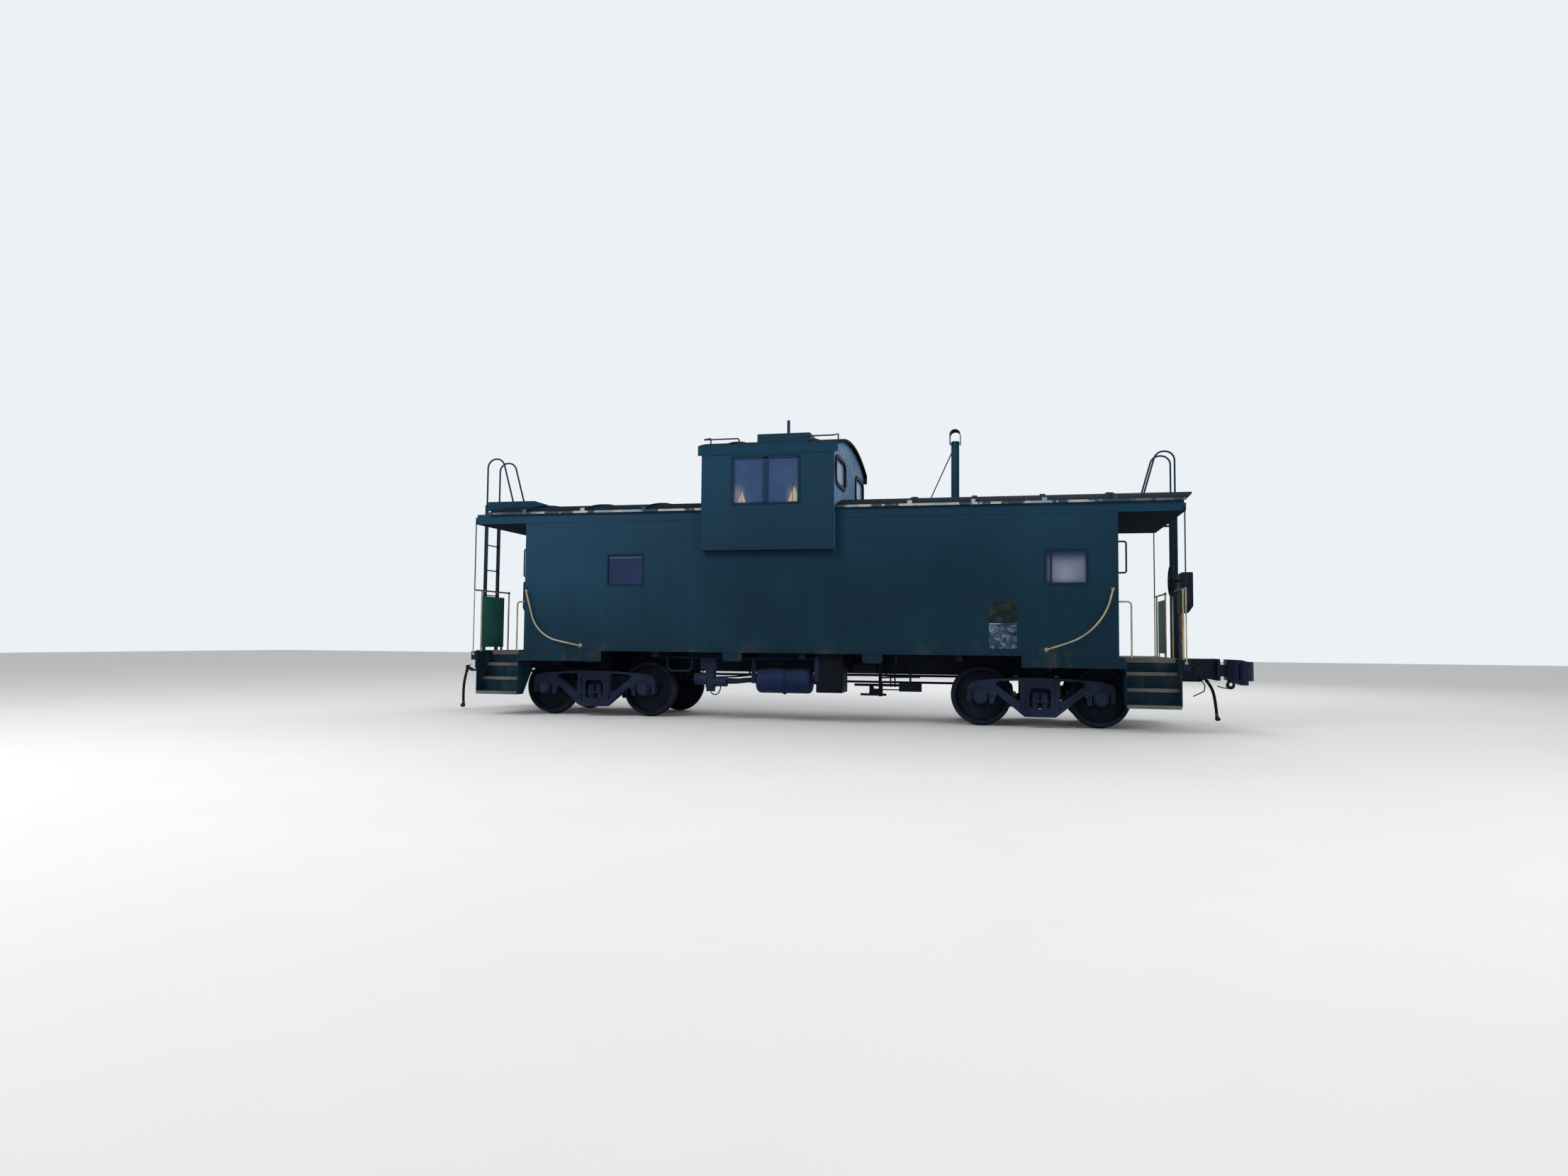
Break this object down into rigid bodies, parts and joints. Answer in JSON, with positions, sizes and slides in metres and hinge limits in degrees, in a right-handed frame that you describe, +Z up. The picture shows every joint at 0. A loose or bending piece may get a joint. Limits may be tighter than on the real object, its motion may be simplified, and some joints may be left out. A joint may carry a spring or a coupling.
{
  "type": "caboose",
  "caption": "Steel railway caboose with a wide lookout cupola, bowed roof ends, platforms with ladders, steps and hand brakes, on roller-bearing trucks; its left coupler is missing",
  "frame": {"origin": "on the plane of the wheel flanges' lowest points, on the centre line, midway between the two truck pivots", "axes": "+X along the car toward the end that keeps its coupler, +Y to the far side of the pictured view, +Z up"},
  "size_m": [12.679, 3.096, 4.8502],
  "materials": {
    "body_paint": "dark blue-green paint, chalked and flaking in places",
    "faded_paint": "the same paint, faded pale and flaking",
    "roof_paint": "dark weathered roof paint",
    "strip_paint": "pale drip strip with flaking colour",
    "cream_paint": "cream paint on irons and nosings, rubbed and rusted",
    "frame_black": "near-black frame paint",
    "cast_steel": "dark cast steel with a blue-grey sheen",
    "wheel_steel": "rolled wheel steel, rusted off the tread",
    "gasket": "black window gasket",
    "hose_rubber": "black air hose",
    "window_pane": "dusty grey-purple glass",
    "floor_board": "plain floor boards"
  },
  "bodies": {
    "car": {"underframe": "frame_black", "cabin_floor": "floor_board", "side_wall_near": "body_paint", "side_wall_far": "body_paint", "end_wall_right": "body_paint", "end_wall_left": "body_paint", "main_roof": "roof_paint", "eave_strips": "strip_paint", "roof_overhangs": "body_paint", "cupola_sides": "body_paint", "cupola_ends": "faded_paint", "cupola_roof": "roof_paint", "cupola_rails": "body_paint", "antenna": "frame_black", "smokestack": "frame_black", "window_frames": "gasket", "window_glass": "window_pane", "platform_right": "body_paint", "platform_left": "body_paint", "steps": "body_paint", "step_nosings": "cream_paint", "railing_right": "cream_paint", "railing_left": "cream_paint", "safety_panels": "body_paint", "ladders": "body_paint", "roof_walkways": "roof_paint", "hand_brakes": "frame_black", "grab_irons": "cream_paint", "sill_plates": "body_paint", "air_tank": "frame_black", "control_valve": "cast_steel", "equipment_box": "frame_black", "brake_rigging": "frame_black", "train_pipe": "frame_black", "uncoupling_levers": "frame_black", "hose_left": "hose_rubber", "hose_right": "hose_rubber", "glad_hand_left": "cast_steel", "glad_hand_right": "cast_steel"},
    "left_truck": {"left_side_frames": "cast_steel", "left_bolster": "cast_steel", "left_brakes": "cast_steel", "left_bearings": "cast_steel"},
    "left_outer_axle": {"left_wheelset_outer": "wheel_steel"},
    "left_inner_axle": {"left_wheelset_inner": "wheel_steel"},
    "right_truck": {"right_side_frames": "cast_steel", "right_bolster": "cast_steel", "right_brakes": "cast_steel", "right_bearings": "cast_steel"},
    "right_outer_axle": {"right_wheelset_outer": "wheel_steel"},
    "right_inner_axle": {"right_wheelset_inner": "wheel_steel"},
    "right_end_door": {"door_right": "body_paint", "door_glass_right": "window_pane"},
    "left_end_door": {"door_left": "body_paint", "door_glass_left": "window_pane"},
    "right_hand_wheel": {"brake_wheel_right": "frame_black"},
    "left_hand_wheel": {"brake_wheel_left": "frame_black"},
    "right_coupler": {"coupler": "cast_steel"},
    "coupler_jaw": {"knuckle": "cast_steel"}
  },
  "joints": [
    {"name": "left_truck_swivel", "type": "hinge", "parent": "car", "child": "left_truck", "pos_m": [-3.429, 0, 0.68], "axis": [0, 0, 1], "range_deg": [-4, 4]},
    {"name": "left_outer_wheels", "type": "hinge", "parent": "left_truck", "child": "left_outer_axle", "pos_m": [-4.2672, 0, 0.4445], "axis": [0, 1, 0], "continuous": true},
    {"name": "left_inner_wheels", "type": "hinge", "parent": "left_truck", "child": "left_inner_axle", "pos_m": [-2.5908, 0, 0.4445], "axis": [0, 1, 0], "continuous": true},
    {"name": "right_truck_swivel", "type": "hinge", "parent": "car", "child": "right_truck", "pos_m": [3.429, 0, 0.68], "axis": [0, 0, 1], "range_deg": [-4, 4]},
    {"name": "right_outer_wheels", "type": "hinge", "parent": "right_truck", "child": "right_outer_axle", "pos_m": [4.2672, 0, 0.4445], "axis": [0, 1, 0], "continuous": true},
    {"name": "right_inner_wheels", "type": "hinge", "parent": "right_truck", "child": "right_inner_axle", "pos_m": [2.5908, 0, 0.4445], "axis": [0, 1, 0], "continuous": true},
    {"name": "right_door_hinge", "type": "hinge", "parent": "car", "child": "right_end_door", "pos_m": [4.418, 0.35, 2.0254], "axis": [0, 0, 1], "range_deg": [-90, 0]},
    {"name": "right_brake_wheel_turn", "type": "hinge", "parent": "car", "child": "right_hand_wheel", "pos_m": [5.265, -0.7, 2.1254], "axis": [1, 0, 0], "continuous": true},
    {"name": "left_door_hinge", "type": "hinge", "parent": "car", "child": "left_end_door", "pos_m": [-4.418, -0.35, 2.0254], "axis": [0, 0, 1], "range_deg": [-90, 0]},
    {"name": "left_brake_wheel_turn", "type": "hinge", "parent": "car", "child": "left_hand_wheel", "pos_m": [-5.265, 0.7, 2.1254], "axis": [-1, 0, 0], "continuous": true},
    {"name": "coupler_swing", "type": "hinge", "parent": "car", "child": "right_coupler", "pos_m": [5.62, 0, 0.8404], "axis": [0, 0, 1], "range_deg": [-7, 7]},
    {"name": "knuckle_open", "type": "hinge", "parent": "right_coupler", "child": "coupler_jaw", "pos_m": [6.33, -0.15, 0.8254], "axis": [0, 0, 1], "range_deg": [-40, 0]}
  ]
}
